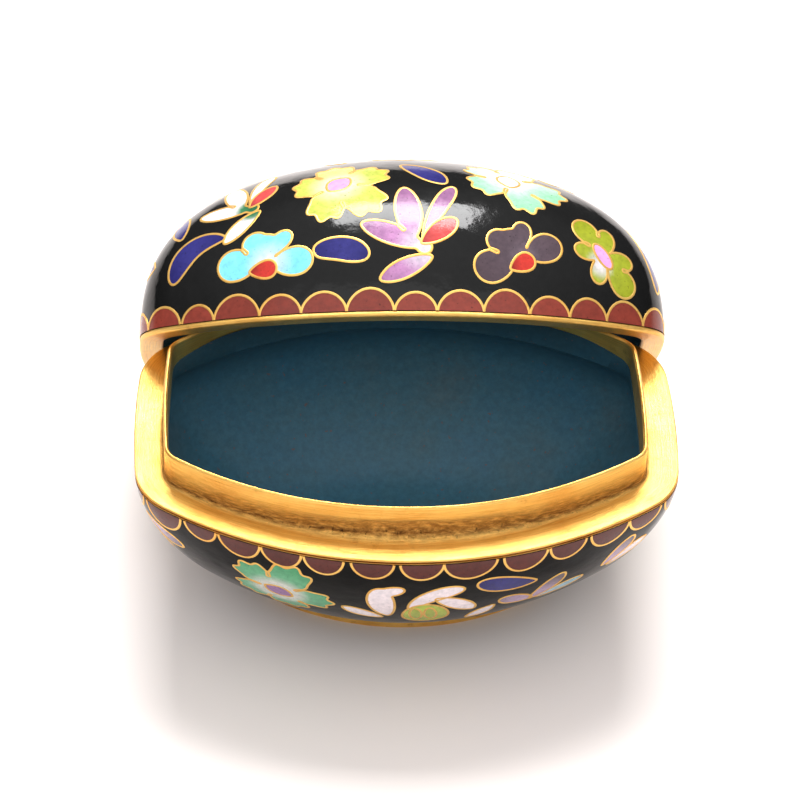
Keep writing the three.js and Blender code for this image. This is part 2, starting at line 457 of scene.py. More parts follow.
# %% [markdown]
# The coloured cells are ground glass, clouded and specked. One finish serves them all: the colour is
# drawn on the mesh, point by point, so that a petal can fade from heart to tip, and noise clouds it.

# %% Coloured enamel, whose colour is drawn on the mesh
def coloured_enamel():
    material, tree, shader = new_finish("coloured_enamel")
    point = object_point(tree)
    drawn = add(tree, "ShaderNodeAttribute", attribute_name="enamel_colour")
    cloud = noise_of(tree, point, 900, 4, 0.65)
    shade = ramp(tree, cloud, [(0.3, (0.80, 0.80, 0.82)), (0.65, (1.12, 1.10, 1.10))])
    clouded = mix(tree, 1.0, drawn.outputs["Color"], shade, "MULTIPLY")
    specks = noise_of(tree, point, 2600, 2, 0.5)
    speck = ramp(tree, specks, [(0.27, (0.35, 0.33, 0.33)), (0.33, (1, 1, 1))])
    tree.links.new(mix(tree, 1.0, clouded, speck, "MULTIPLY"), shader.inputs["Base Color"])
    tree.links.new(ramp(tree, cloud, [(0.3, grey(0.10)), (0.7, grey(0.22))]), shader.inputs["Roughness"])
    tree.links.new(bump(tree, cloud, 0.10, 0.0003), shader.inputs["Normal"])
    shader.inputs["IOR"].default_value = GLASS_IOR
    return material


# %% [markdown]
# The lining is one coat of duller, blue-green glass. A ramp on the height above the floor darkens it
# high up, next to the collar. That darkening is painted shade, where the collar and the lid shade
# the lining.

# %% Teal lining
# About the collar's top height, in metres, where the lining's painted shade is darkest.
COLLAR_LEVEL = 0.039
LINING_IOR = 1.3


def teal_lining():
    material, tree, shader = new_finish("teal_lining")
    point = object_point(tree)
    cloud = noise_of(tree, point, 45, 5, 0.65)
    grain = noise_of(tree, point, 900, 4, 0.7)
    stops = [(0.3, (0.045, 0.155, 0.245)), (0.5, (0.056, 0.156, 0.222)), (0.72, (0.085, 0.148, 0.182))]
    speck = ramp(tree, grain, [(0.35, grey(0.86)), (0.7, grey(1.10))])
    colour = mix(tree, 1.0, ramp(tree, cloud, stops), speck, "MULTIPLY")
    # Painted shade: the lining's colour darkens with height, towards the collar's top.
    level = add(tree, "ShaderNodeSeparateXYZ")
    tree.links.new(point, level.inputs[0])
    share = add(tree, "ShaderNodeMapRange")
    share.inputs["From Max"].default_value = COLLAR_LEVEL
    tree.links.new(level.outputs["Z"], share.inputs["Value"])
    depth = ramp(tree, share.outputs["Result"], [(0.35, grey(1.0)), (0.72, grey(0.72)), (0.95, grey(0.38))])
    colour = mix(tree, 1.0, colour, depth, "MULTIPLY")
    dots = ramp(tree, noise_of(tree, point, 1300, 2, 0.5), [(0.69, grey(0)), (0.74, grey(0.7))])
    colour = mix(tree, dots, colour, (0.16, 0.09, 0.08))
    tree.links.new(colour, shader.inputs["Base Color"])
    tree.links.new(ramp(tree, cloud, [(0.3, grey(0.34)), (0.7, grey(0.46))]), shader.inputs["Roughness"])
    tree.links.new(bump(tree, grain, 0.06, 0.0002), shader.inputs["Normal"])
    shader.inputs["IOR"].default_value = LINING_IOR
    return material


# %% [markdown]
# ### Gilt and solder
#
# The gilding is worn: brushed along the rim, warm yellow with deeper patches, and stained brown in
# spots. Where the collar meets the flange, the solder is burnt and full of pits. Those pits are finer
# than the mesh, so noise in a band that follows the collar gives them, in colour, shine and bump.

# %% Pitted solder
SEAM_UP = 0.8
SEAM_OUT = 0.9


def crusted(tree, colour, roughness, normal, crust):
    """Adds a band of burnt, pitted solder. The crust gives its lengths across the piece."""
    start, peak, end, total = crust
    unrolled = add(tree, "ShaderNodeSeparateXYZ")
    tree.links.new(along_point(tree, (1, 1 / total, 1)), unrolled.inputs[0])
    band = [(start / total, grey(0)), (peak / total, grey(1)), (end / total, grey(0))]
    here = ramp(tree, unrolled.outputs["Y"], band)
    streaks = noise_of(tree, along_point(tree, (0.45, 2.2, 1)), 1.0, 5, 0.7)
    browns = [(0.32, (0.09, 0.035, 0.01)), (0.48, (0.42, 0.20, 0.05)), (0.66, (0.90, 0.52, 0.14))]
    colour = mix(tree, here, colour, ramp(tree, streaks, browns))
    pits = noise_of(tree, along_point(tree, (1.1, 1.6, 1)), 1.0, 5, 0.75)
    hole = ramp(tree, pits, [(0.36, grey(1)), (0.43, grey(0))])
    narrow = [(peak - SEAM_UP, grey(0)), (peak, grey(1)), (peak + SEAM_OUT, grey(0))]
    seam = ramp(tree, unrolled.outputs["Y"], [(place / total, amount) for place, amount in narrow])
    colour = mix(tree, mix(tree, 1.0, hole, seam, "MULTIPLY"), colour, (0.03, 0.014, 0.006))
    roughness = mix(tree, here, roughness, grey(0.5))
    depth = mix(tree, here, grey(0.5), streaks)
    return colour, roughness, bump(tree, depth, 0.7, 0.0005, normal)


# %% Gilt
def gilt(name, scratch=0.9, tarnish=0.35, rough=0.33, metal=0.92, crust=None):
    """Gilt brass, with or without a crust of solder."""
    material, tree, shader = new_finish(name)
    point = object_point(tree)
    brushed = noise_of(tree, along_point(tree, (0.10, 4.5, 1)), 1.0, 5, 0.7)
    patches = noise_of(tree, point, 110, 4, 0.6)
    clean = ramp(tree, patches, [(0.3, (0.90, 0.49, 0.11)), (0.6, (1.0, 0.64, 0.18))])
    stain = noise_of(tree, point, 420, 6, 0.75)
    stained = ramp(tree, stain, [(0.30, (0.38, 0.18, 0.05)), (0.42, (1.0, 0.97, 0.94))])
    colour = mix(tree, tarnish, clean, stained, "MULTIPLY")
    lines = ramp(tree, brushed, [(0.36, (0.74, 0.66, 0.52)), (0.56, (1, 1, 1))])
    colour = mix(tree, 0.8, colour, lines, "MULTIPLY")
    roughness = ramp(tree, brushed, [(0.3, grey(rough - 0.06)), (0.7, grey(rough + 0.10))])
    normal = bump(tree, brushed, scratch, 0.0001)
    normal = bump(tree, patches, 0.25, 0.0005, normal)
    sand = noise_of(tree, point, 2400, 4, 0.7)
    normal = bump(tree, sand, 0.25, 0.00008, normal)
    if crust:
        colour, roughness, normal = crusted(tree, colour, roughness, normal, crust)
    tree.links.new(colour, shader.inputs["Base Color"])
    tree.links.new(roughness, shader.inputs["Roughness"])
    tree.links.new(normal, shader.inputs["Normal"])
    shader.inputs["Metallic"].default_value = metal
    return material


BLACK = black_enamel("black_enamel", GLASS_IOR)
DULL_BLACK = black_enamel("dull_black_enamel", BASE_GLASS_IOR)
COLOURED = coloured_enamel()
TEAL = teal_lining()
GILT = gilt("gilt_rim")
GILT_FOOT = gilt("gilt_foot", scratch=0.3, tarnish=0.5, rough=0.45, metal=0.8)
GILT_LID = gilt("gilt_lid_rim", metal=0.8)
GILT_WIRE = gilt("gilt_wire", scratch=0.1, tarnish=0.5, rough=0.40, metal=0.78)
print("finishes:", [m.name for m in bpy.data.materials])

# %% [markdown]
# ## Rings round the box
#
# Everything that goes round the box is a ring of points with one column for each step along the rim.
# The rim's own rings keep its outline. The collar was bent separately, with tighter corners, and sits
# a little forward and to the left, so it has a ring function of its own, measured off its solid.

# %% Ring functions
COLLAR_THICK = 0.75
COLLAR_SPREAD = 0.8
COLLAR_LONG_RADIUS = 66.0
COLLAR_SHORT_RADIUS = 160.0
COLLAR_CORNER = 3.4

collar_low, collar_high = (np.array(corner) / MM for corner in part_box("base_collar"))
collar_middle = (collar_low + collar_high) / 2
COLLAR_TOP = float(collar_high[2])
collar_half = (collar_high - collar_low)[:2] / 2 - COLLAR_THICK - COLLAR_SPREAD
print("collar's inner half width and half depth:", collar_half.round(2), "top:", round(COLLAR_TOP, 2))


def ring_of(radius, height, shift=(0.0, 0.0)):
    x = radius * np.cos(RING_ANGLES) + shift[0]
    y = radius * np.sin(RING_ANGLES) + shift[1]
    return np.stack([x, y, np.broadcast_to(height, x.shape)], -1)


def rim_ring(inset, height):
    return ring_of(rim_radius(RING_ANGLES, inset), height)


def collar_ring(grow, height):
    """A ring that lies outside the collar's inner face by a distance. Both may vary round the ring."""
    sizes = (COLLAR_LONG_RADIUS, COLLAR_SHORT_RADIUS, COLLAR_CORNER)
    inner = cushion_radius(RING_ANGLES, *collar_half, *sizes)
    outer = cushion_radius(RING_ANGLES, *(collar_half + 1), *(size + 1 for size in sizes))
    return ring_of(inner + (outer - inner) * grow, height, (collar_middle[0], collar_middle[1] - BASE_Y))


# %% [markdown]
# ## The two enamelled halves
#
# Each half is one closed body: up the outside, over the edge and down the inside. The outside is
# black, the inside teal. The base's lining was laid thickly under the rim, where it closes the step
# between the wall and the collar and laps up the collar's inner face, most of all at the back.

# %% Bowl and lid shells
SIDE_STEPS = 64
LAP_FRONT = 0.6
LAP_BACK = 4.6
LAP_THICK = 0.1
COVE_DEPTH = 9.0


def shell_rings(shape, last_k):
    """Rings from the rim up to a fraction k, evenly spaced up the side."""
    last_run = np.interp(-last_k, -shape.run_k, shape.run)
    return [shape.point(RING_ANGLES, k) for k in shape.k_at(np.linspace(0, last_run, SIDE_STEPS))]


def coved(rings):
    """The bowl's inner rings, drawn in towards the collar's inner face near the top."""
    result = []
    for ring in rings:
        depth = BOWL_EDGE - ring[0, 2]
        pull = np.clip(1 - depth / COVE_DEPTH, 0, 1) ** 1.6
        collar = collar_ring(-LAP_THICK, ring[0, 2])
        result.append(ring + (collar - ring) * pull)
    behind = np.clip((np.sin(RING_ANGLES) - 0.05) / 0.5, 0, 1)
    top = LAP_FRONT + (LAP_BACK - LAP_FRONT) * behind ** 2 * (3 - 2 * behind)
    lap = [(0.3, 0), (-0.02, top), (-LAP_THICK, top - 0.15)]
    return [collar_ring(grow, BOWL_EDGE + up) for grow, up in lap] + result


def enamel_shell(name, black, outside, inside, outer_crown, inner_crown, upright, place):
    """One closed shell. Upright says that it is open at the top."""
    if upright:
        rings, caps = outside[::-1] + inside, (outer_crown, inner_crown)
    else:
        rings, caps = inside[::-1] + outside, (inner_crown, outer_crown)
    caps = [(0, 0, height) for height in caps]
    verts, faces, lengths = rings_to_mesh(rings, first_cap=caps[0], last_cap=caps[1])
    first = len(outside) if upright else len(inside) - 1
    bands = [int((band < first) != upright) for band in range(len(rings) - 1)]
    slots = np.repeat(bands + [int(not upright), int(upright)], COLUMNS)
    return make_piece(name, verts, faces, [black, TEAL], place, lengths, slots.tolist())


CROWN = 0.02
bowl_out, bowl_in = bowl_shape(), bowl_shape(WALL)
lid_out, lid_in = lid_shape(), lid_shape(WALL)
BOWL_FLAT = float(bowl_out.fraction(BOWL_EDGE - BOWL_BOTTOM))
bowl = enamel_shell(
    "bowl_enamel",
    DULL_BLACK,
    shell_rings(bowl_out, BOWL_FLAT),
    coved(shell_rings(bowl_in, CROWN)),
    BOWL_BOTTOM,
    BOWL_EDGE - float(bowl_in.rise(0)),
    True,
    BASE_PLACE,
)
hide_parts("base_bowl")
lid = enamel_shell(
    "lid_enamel",
    BLACK,
    shell_rings(lid_out, CROWN),
    shell_rings(lid_in, CROWN),
    float(lid_out.edge + lid_out.rise(0)),
    float(lid_in.edge + lid_in.rise(0)),
    False,
    LID_PLACE,
)
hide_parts("lid_shell")

# %% [markdown]
# ## The gilt flanges, collar and foot
#
# The flanges are flat rings with a softened outer edge. The collar is a bent strip, soldered on the
# flange with a fillet that a file never quite reached. The fillet is rough, pitted and brown, and it is
# widest at the front. Each piece is a cross-section carried round the box, point by point.

# %% Section helpers
SECTION_STEP = 0.8


def soften(corners, radius, steps=4):
    """A closed section with each corner replaced by a short curve."""
    corners = [np.array(c, float) for c in corners]
    points = []
    for i, corner in enumerate(corners):
        before = corners[i - 1] - corner
        after = corners[(i + 1) % len(corners)] - corner
        cut = min(radius, 0.45 * np.hypot(*before), 0.45 * np.hypot(*after))
        start = corner + before / np.hypot(*before) * cut
        end = corner + after / np.hypot(*after) * cut
        for t in np.linspace(0, 1, steps):
            points.append((1 - t) ** 2 * start + 2 * t * (1 - t) * corner + t ** 2 * end)
    return points


def refine(section, step):
    """The same closed section with no stretch longer than a step."""
    points = []
    for i, p in enumerate(section):
        q = section[(i + 1) % len(section)]
        pieces = max(1, int(np.ceil(np.hypot(*(q - p)) / step)))
        points += [p + (q - p) * t / pieces for t in range(pieces)]
    return points


def wavering(size, seed, length):
    """A slow random change round the ring, which meets itself at the ends."""
    turn = 2 * math.pi * RING_LENGTHS / RIM_LENGTH
    reach = RIM_LENGTH / length / (2 * math.pi)
    spots = [Vector((reach * math.cos(t), reach * math.sin(t), seed)) for t in turn]
    return size * np.array([noise.noise(spot) for spot in spots])


# %% Base flange
LIP = 0.3
LIP_WIDTH = 1.2
SOLDER_GAP = 0.1

corners = [(0, BOWL_EDGE), (0, RIM_TOP), (2, RIM_TOP), (2, BOWL_EDGE)]
flange_section = refine(soften(corners, LIP), SECTION_STEP)
flange_middle = (BOWL_EDGE + RIM_TOP) / 2
# The last ring of the lower part lies a little way in, which leaves a fine groove along the edge.
upper = [rim_ring(inset, z) for inset, z in flange_section if inset < LIP_WIDTH and z > flange_middle]
lower = [rim_ring(inset, z) for inset, z in flange_section if inset < LIP_WIDTH and z < flange_middle]
inner_top = collar_ring(COLLAR_THICK + SOLDER_GAP, RIM_TOP)
inner_low = collar_ring(COLLAR_THICK + SOLDER_GAP, BOWL_EDGE)
across_top = [upper[-1] + (inner_top - upper[-1]) * t for t in (0.2, 0.4, 0.6, 0.8, 1.0)]
across_low = [inner_low + (lower[0] - inner_low) * t for t in (0.0, 0.5)]
print("flange: rings at the lip", len(upper), "above and", len(lower), "below")
verts, faces, lengths = rings_to_mesh(lower + upper + across_top + across_low, loop=True)
base_flange = make_piece("base_flange", verts, faces, [GILT], BASE_PLACE, lengths)
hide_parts("base_rim")

# %% The collar's uneven bend and its fillet of solder
FILLET_HEIGHT = 1.3
FRONT_REACH = 1.2
FRONT_HEIGHT = 2.0
FILLET_STEPS = 12

frontness = np.clip(-np.sin(RING_ANGLES), 0, 1) ** 3
fillet_reach = COLLAR_SPREAD + FRONT_REACH * frontness + wavering(0.25, 3.0, 6.0)
fillet_height = FILLET_HEIGHT + FRONT_HEIGHT * frontness + wavering(0.5, 8.0, 5.0)
waver = wavering(0.22, 5.0, 18.0)
print("fillet: reach", fillet_reach.min().round(2), "to", fillet_reach.max().round(2))

# %% Collar
EDGE_ROUND = 0.3
WALL_FOOT = RIM_TOP + 3.8
SUNK_LEVEL = RIM_TOP - 0.05

profile = [(0.0, z) for z in np.linspace(COLLAR_TOP - EDGE_ROUND, BOWL_EDGE, 12)][::-1]
profile += [(EDGE_ROUND, COLLAR_TOP), (COLLAR_THICK - EDGE_ROUND, COLLAR_TOP)]
profile += [(COLLAR_THICK, z) for z in np.linspace(COLLAR_TOP - EDGE_ROUND, WALL_FOOT, 5)]
rings = [collar_ring(grow + waver, z) for grow, z in profile]
wall_rings = len(rings)
for t in np.linspace(1, 0, FILLET_STEPS):
    grow = COLLAR_THICK + fillet_reach * (1 - t) ** 2.4
    rings.append(collar_ring(grow + waver, RIM_TOP + fillet_height * t ** 2.0))
rings.append(collar_ring(COLLAR_THICK + fillet_reach + waver, SUNK_LEVEL))
rings.append(collar_ring(COLLAR_THICK, SUNK_LEVEL))
rings.append(collar_ring(COLLAR_THICK, BOWL_EDGE))
verts, faces, lengths = rings_to_mesh(rings, loop=True)
widths = [np.linalg.norm(q - p, axis=1).mean() for p, q in zip(rings, rings[1:])]
across = np.concatenate([[0], np.cumsum(widths)])
crust_band = [across[i] for i in (wall_rings - 2, wall_rings + 5, wall_rings + FILLET_STEPS, -1)]
print("collar: crust between", [round(float(c), 1) for c in crust_band])
GILT_COLLAR = gilt("gilt_collar", crust=crust_band)
collar = make_piece("collar", verts, faces, [GILT_COLLAR], BASE_PLACE, lengths)
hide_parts("base_collar")

# %% Foot ring
FOOT = dict(half_width=24.0, half_depth=15.4, long_radius=40.0, short_radius=34.0, corner_radius=8.0)
FOOT_THICK = 1.5


def foot_outline(inset):
    size = {key: value - inset for key, value in FOOT.items()}
    radius = cushion_radius(RING_ANGLES, **size)
    return radius * np.cos(RING_ANGLES), radius * np.sin(RING_ANGLES)


bowl_ks = np.linspace(0.3, 1, 400)
bowl_grid = bowl_out.point(RING_ANGLES[:, None], bowl_ks[None, :])
grid_radius = np.hypot(bowl_grid[..., 0], bowl_grid[..., 1])


def under_bowl(x, y):
    """The height of the bowl's outer face above each point of a ring."""
    radius = np.hypot(x, y)
    heights = [np.interp(radius[i], grid_radius[i], bowl_grid[i, :, 2]) for i in range(COLUMNS)]
    return np.maximum(np.array(heights), BOWL_BOTTOM)


FOOT_GAP = 0.02
# Pairs of inset and share of the way up to the bowl. The lower edge is turned out a little.
FOOT_SECTION = (
    (-0.3, 0),
    (-0.4, 0.12),
    (-0.25, 0.4),
    (0, 0.8),
    (0, 1),
    (0.5, 1),
    (1, 1),
    (FOOT_THICK, 1),
    (FOOT_THICK, 0.5),
    (FOOT_THICK - 0.1, 0),
)
foot_rings = []
for inset, share in FOOT_SECTION:
    x, y = foot_outline(inset)
    foot_rings.append(np.stack([x, y, share * (under_bowl(x, y) - FOOT_GAP)], -1))
verts, faces, lengths = rings_to_mesh(foot_rings, loop=True)
foot = make_piece("foot", verts, faces, [GILT_FOOT], BASE_PLACE, lengths)
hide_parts("foot_ring")

# %% Lid flange
LID_FLANGE_WIDTH = 4.0
LID_LIP = 0.45

corners = [(0, 0), (0, RIM_THICK), (LID_FLANGE_WIDTH, RIM_THICK), (LID_FLANGE_WIDTH, 0)]
lid_section = refine(soften(corners, LID_LIP), SECTION_STEP)
verts, faces, lengths = rings_to_mesh([rim_ring(inset, z) for inset, z in lid_section], loop=True)
lid_flange = make_piece("lid_flange", verts, faces, [GILT_LID], LID_PLACE, lengths)
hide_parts("lid_rim")

# %% [markdown]
# ## Drawing on a dome
#
# The ornament is drawn flat, in millimetres, as on paper, and then laid on the dome. A drawing has an
# anchor: how far along the rim it stands from the middle of the front, and how far up the side. Its
# points are moved out along the surface's normal there and dropped straight back onto the surface.
# The colour cells and the wires of each half are gathered into two meshes, to keep the piece count low.

# %% A canvas for each half
CAST_FROM = 25.0
CELL_LIFT = 0.02
WIRE_LIFT = 0.015
WIRE_WIDTH = 0.48
# Points across a wire: shares of its width, and heights above the black enamel in millimetres.
WIRE_SECTION = ((-0.5, -0.05), (-0.42, 0.045), (-0.16, 0.075), (0.16, 0.075), (0.42, 0.045), (0.5, -0.05))


class Canvas:
    def __init__(self, name, shape, last_k, place):
        self.name = name
        self.shape = shape
        self.place = place
        rings = shell_rings(shape, last_k)
        verts, faces, _ = rings_to_mesh(rings, last_cap=(0, 0, float(rings[-1][0, 2])))
        self.tree = BVHTree.FromPolygons(verts.tolist(), faces)
        self.cells = ([], [], [])
        self.wires = ([], [])
        self.covered = []

    def spots(self, along, up):
        """Points of the surface, and its normals, by lengths along the rim and up the side."""
        along, up = np.broadcast_arrays(np.asarray(along, float), np.asarray(up, float))
        step = 0.02

        def at(s, d):
            return self.shape.point(angle_at(s), self.shape.k_at(np.maximum(d, 0)))

        place = at(along, up)
        onward = at(along + step, up) - at(along - step, up)
        upward = at(along, up + step) - place
        normal = np.cross(onward, upward) * self.shape.side
        return place, normal / np.linalg.norm(normal, axis=-1, keepdims=True)

    def lay(self, drawing, along, up, turn=0.0):
        """Drops a flat drawing onto the dome, and gives its points and normals."""
        spot, out = self.spots(along, up)
        ahead = self.spots(along + 0.05, up)[0] - self.spots(along - 0.05, up)[0]
        ahead = ahead - out * (ahead @ out)
        ahead /= np.linalg.norm(ahead)
        rise = np.cross(out, ahead) * self.shape.side
        c, s = math.cos(math.radians(turn)), math.sin(math.radians(turn))
        flat = np.asarray(drawing, float) @ np.array([[c, s], [-s, c]])
        starts = spot + flat[:, :1] * ahead + flat[:, 1:] * rise + out * CAST_FROM
        places, normals = [], []
        for start in starts:
            hit, normal, _, _ = self.tree.ray_cast(Vector(start), Vector(-out))
            if hit is None:
                hit, normal, _, _ = self.tree.find_nearest(Vector(start - out * CAST_FROM))
            places.append(hit)
            normals.append(normal if normal.dot(Vector(out)) > 0 else -normal)
        return np.array(places), np.array(normals)

    def add_cell(self, places, normals, triangles, colours, layer=0):
        """A sheet of glass just over the black. A higher layer lies on the cells below it."""
        verts, faces, tints = self.cells
        first = len(verts)
        verts.extend((places + normals * (CELL_LIFT * (layer + 1))).tolist())
        faces.extend(tuple(int(i) + first for i in face) for face in triangles)
        tints.extend([tuple(c) for c in colours])

    def add_wire(self, places, normals, closed, layer=0):
        """A soldered wire: a flat band with rounded shoulders, just proud of the glass."""
        onward = np.roll(places, -1, 0) - np.roll(places, 1, 0)
        if not closed:
            onward[0] = places[1] - places[0]
            onward[-1] = places[-1] - places[-2]
        across = np.cross(normals, onward)
        across /= np.linalg.norm(across, axis=1, keepdims=True) + 1e-12
        verts, faces = self.wires
        first = len(verts)
        for place, normal, side in zip(places, normals, across):
            for share, height in WIRE_SECTION:
                raised = normal * (height + WIRE_LIFT * layer)
                verts.append((place + side * share * WIRE_WIDTH + raised).tolist())
        n, m = len(places), len(WIRE_SECTION)
        for i in range(n if closed else n - 1):
            here, there = first + i * m, first + (i + 1) % n * m
            for j in range(m):
                k = (j + 1) % m
                faces.append((here + j, here + k, there + k, there + j))
        if not closed:
            faces.append(tuple(first + j for j in reversed(range(m))))
            faces.append(tuple(first + (n - 1) * m + j for j in range(m)))


lid_canvas = Canvas("lid", lid_out, CROWN, LID_PLACE)
base_canvas = Canvas("base", bowl_out, BOWL_FLAT, BASE_PLACE)
print("canvases ready")

# %% [markdown]
# ## Flat outlines
#
# A petal is a spine with a width that swells and shrinks along it. Its ends may be round or pointed,
# the spine may be bent, and its edge may be ruffled. Petals that share one cell are fused: they are
# triangulated together, and the wire follows only the outer edge, as the real wire does. Where the
# wire turns back between two petals, it is pinched into a short loop that points at the heart.

# %% Petals
STEP = 0.3
GRID = 0.6


def resample(path, step, closed):
    path = np.asarray(path, float)
    if closed:
        path = np.concatenate([path, path[:1]])
    lengths = np.concatenate([[0], np.cumsum(np.linalg.norm(np.diff(path, axis=0), axis=1))])
    count = max(4, int(round(lengths[-1] / step)))
    marks = np.linspace(0, lengths[-1], count + 1)
    if closed:
        marks = marks[:-1]
    return np.stack([np.interp(marks, lengths, path[:, axis]) for axis in (0, 1)], -1)


def petal(start, toward, reach, width, bend=0, fullest=0.6, tip=0.5, base=0.75, ruffle=0.0):
    """The outline of one petal, anticlockwise. End shapes run from 0.5, round, to 1, pointed."""
    direction = np.array([math.cos(math.radians(toward)), math.sin(math.radians(toward))])
    left = np.array([-direction[1], direction[0]])
    start = np.array(start, float)
    end = start + direction * reach
    crook = (start + end) / 2 + left * reach / 2 * math.tan(math.radians(bend) / 2)
    t = (1 - np.cos(np.linspace(0, math.pi, 25))) / 2
    spine = np.outer((1 - t) ** 2, start) + np.outer(2 * t * (1 - t), crook) + np.outer(t ** 2, end)
    slope = np.gradient(spine, axis=0)
    normal = np.stack([-slope[:, 1], slope[:, 0]], -1)
    normal /= np.linalg.norm(normal, axis=1, keepdims=True) + 1e-9
    past = t > fullest
    spread = np.where(past, (t - fullest) / (1 - fullest), (fullest - t) / fullest)
    half = width / 2 * np.maximum(1 - spread ** 2, 0) ** np.where(past, tip, base)
    sides = normal * half[:, None]
    outline = resample(np.concatenate([spine - sides, (spine + sides)[-2:0:-1]]), STEP, True)
    if ruffle:
        reached = outline - start
        aside = np.arctan2(reached @ left, reached @ direction) / math.atan2(width / 2, reach * fullest)
        outer = np.clip((np.linalg.norm(reached, axis=1) / reach - 0.45) / 0.3, 0, 1)
        outline = start + reached * (1 + ruffle * outer * np.cos(3 * math.pi * aside))[:, None]
    return outline


def disc(centre, radius):
    turn = np.linspace(0, 2 * math.pi, 24, endpoint=False)
    return np.array(centre, float) + radius * np.stack([np.cos(turn), np.sin(turn)], -1)


def inside(points, outline):
    x, y = points[:, 0], points[:, 1]
    odd = np.zeros(len(points), bool)
    for p, q in zip(outline, np.roll(outline, -1, 0)):
        crosses = (p[1] > y) != (q[1] > y)
        rise = q[1] - p[1] if q[1] != p[1] else 1e-9
        odd ^= crosses & (x < p[0] + (y - p[1]) / rise * (q[0] - p[0]))
    return odd


def fuse(outlines):
    """Points, triangles and edge paths of the cell that overlapping outlines make together."""
    edge = np.concatenate(outlines)
    low, high = edge.min(0), edge.max(0)
    grid = np.stack(np.meshgrid(*(np.arange(l, h, GRID) for l, h in zip(low, high))), -1).reshape(-1, 2)
    covered = np.any([inside(grid, outline) for outline in outlines], axis=0)
    clear = np.linalg.norm(grid[:, None] - edge[None], axis=-1).min(1) > GRID / 2
    grid = grid[covered & clear]
    loops, first = [], 0
    for outline in outlines:
        loops.append(list(range(first, first + len(outline))))
        first += len(outline)
    points = [Vector(p) for p in np.concatenate([edge, grid])]
    verts, _, faces, _, _, origins = delaunay_2d_cdt(points, [], loops, 0, 1e-4, True)
    kept = [tuple(face) for face, origin in zip(faces, origins) if origin]
    used = {i for face in kept for i in face}
    renumber = {old: new for new, old in enumerate(sorted(used))}
    places = np.array([verts[i] for i in sorted(used)])
    triangles = [tuple(renumber[i] for i in face) for face in kept]
    sides = {(f[i], f[(i + 1) % 3]) for f in triangles for i in range(3)}
    follow = {a: b for a, b in sides if (b, a) not in sides}
    paths = []
    while follow:
        a, b = follow.popitem()
        path = [a]
        while b != a and b in follow:
            path.append(b)
            b = follow.pop(b)
        paths.append(places[path])
    return places, triangles, paths


def relax(path):
    """A closed path with its small kinks eased."""
    for _ in range(2):
        path = (np.roll(path, 1, 0) + 2 * path + np.roll(path, -1, 0)) / 4
    return path


# %% Pinched wire
SHARP_TURN = 65
LOOP_RADIUS = 0.28
LOOP_SUNK = 0.3
LOOP_NECK = 0.2
LOOP_STEP = 0.25


def pinches(path, length):
    """Short hairpins of wire, from each sharp inward corner of an anticlockwise path."""
    before = path - np.roll(path, 2, 0)
    after = np.roll(path, -2, 0) - path
    cross = before[:, 0] * after[:, 1] - before[:, 1] * after[:, 0]
    turn = np.degrees(np.arctan2(cross, (before * after).sum(1)))
    loops = []
    for i in np.where(turn < -SHARP_TURN)[0]:
        near = [turn[(i + j) % len(path)] for j in range(-4, 5)]
        if turn[i] > min(near):
            continue
        inward = before[i] - after[i]
        inward /= np.hypot(*inward)
        side = np.array([-inward[1], inward[0]])
        middle = path[i] + inward * length
        around = [(math.sin(a), math.cos(a)) for a in np.linspace(0, math.pi, 7)]
        cap = [middle + (inward * out + side * aside) * LOOP_RADIUS for out, aside in around]
        low = path[i] - inward * LOOP_SUNK
        neck = [low - side * LOOP_NECK, low + side * LOOP_NECK]
        loops.append(resample(np.array(neck + cap), LOOP_STEP, True))
    return loops


# %% [markdown]
# ### One cell at a time
#
# A cell is a sheet of glass with a wire round it. Where a bud lies over petals, their wires stop at the
# bud's edge, because all the real wires stand side by side on the same copper.

# %% One cell of glass and its wire
SHORTEST_PATH = 8


def shaded(points, heart, shades):
    """Colours by distance from a flower's heart. Shades are pairs of distance and colour."""
    distance = np.linalg.norm(points - np.array(heart, float), axis=1)
    stops = [stop for stop, _ in shades]
    channels = [np.interp(distance, stops, [colour[i] for _, colour in shades]) for i in range(3)]
    return np.stack(channels + [np.ones(len(points))], -1)


def uncovered(loop, above):
    """The stretch of a closed loop that no cell above hides, and whether that is all of it."""
    hidden = inside(loop, above) if above is not None else np.zeros(len(loop), bool)
    if not hidden.any():
        return loop, True
    first = int(np.argmax(hidden))
    order = [(first + i) % len(loop) for i in range(len(loop))]
    return loop[[i for i in order if not hidden[i]]], False


def cell(canvas, place, outlines, shades, heart=(0, 0), layer=0, pinch=0.0, above=None):
    """One cell of glass and its wire, cut where another cell lies above. The place is along, up, turn."""
    points, triangles, paths = fuse(outlines)
    places, normals = canvas.lay(points, *place)
    canvas.covered.append(places)
    canvas.add_cell(places, normals, triangles, shaded(points, heart, shades), layer)
    for path in paths:
        if len(path) < SHORTEST_PATH:
            continue
        path = resample(path, STEP, True)
        loops = pinches(path, pinch) if pinch else []
        if above is not None:
            loops = [loop for loop in loops if not inside(loop, above).any()]
        for loop in [relax(path)] + loops:
            shown, closed = uncovered(loop, above)
            if len(shown) < 4:
                continue
            spots, outs = canvas.lay(shown, *place)
            canvas.add_wire(spots, outs, closed, layer)


def leaf(canvas, along, up, toward, reach, width, bend, colour, tip=0.5, base=0.8, fullest=0.5):
    outline = petal((0, 0), toward, reach, width, bend, fullest, tip, base)
    pale = tuple(min(1.0, c * 1.5 + 0.01) for c in colour)
    cell(canvas, (along, up, 0), [outline], [(0, colour), (0.6 * reach, pale), (reach, colour)])


# %% [markdown]
# ### Kinds of flower
#
# The flowers are of four kinds, and there is one lotus. A kind is a table with one row for each petal,
# drawn at full size, so that the same flower can be drawn again smaller, turned, or in other colours.

# %% Flowers
def scaled_petals(rows, size):
    """Petals from rows of x, y, direction, reach, width, and then the rest of a petal's shape."""
    return [
        petal((x * size, y * size), toward, reach * size, width * size, *shape)
        for x, y, toward, reach, width, *shape in rows
    ]


